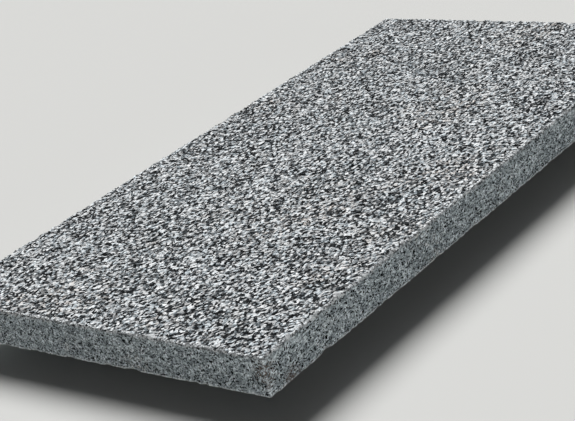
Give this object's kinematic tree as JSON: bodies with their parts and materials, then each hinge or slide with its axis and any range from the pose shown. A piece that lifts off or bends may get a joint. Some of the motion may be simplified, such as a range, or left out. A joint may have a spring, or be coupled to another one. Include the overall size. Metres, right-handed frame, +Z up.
{
  "type": "granite slab",
  "caption": "Rectangular granite slab for tooling and punching leather on, with a rough flamed top, sawn sides and chipped edges.",
  "frame": {"origin": "middle of the underside, on the surface that the slab lies on", "axes": "+Z up out of the rough working face, +Y along the long side, +X along the short side"},
  "size_m": [0.3, 0.6, 0.03],
  "materials": {
    "granite": "light grey granite, flamed rough top, sawn sides and underside"
  },
  "bodies": {
    "root": {"granite_slab": "granite"}
  },
  "joints": []
}
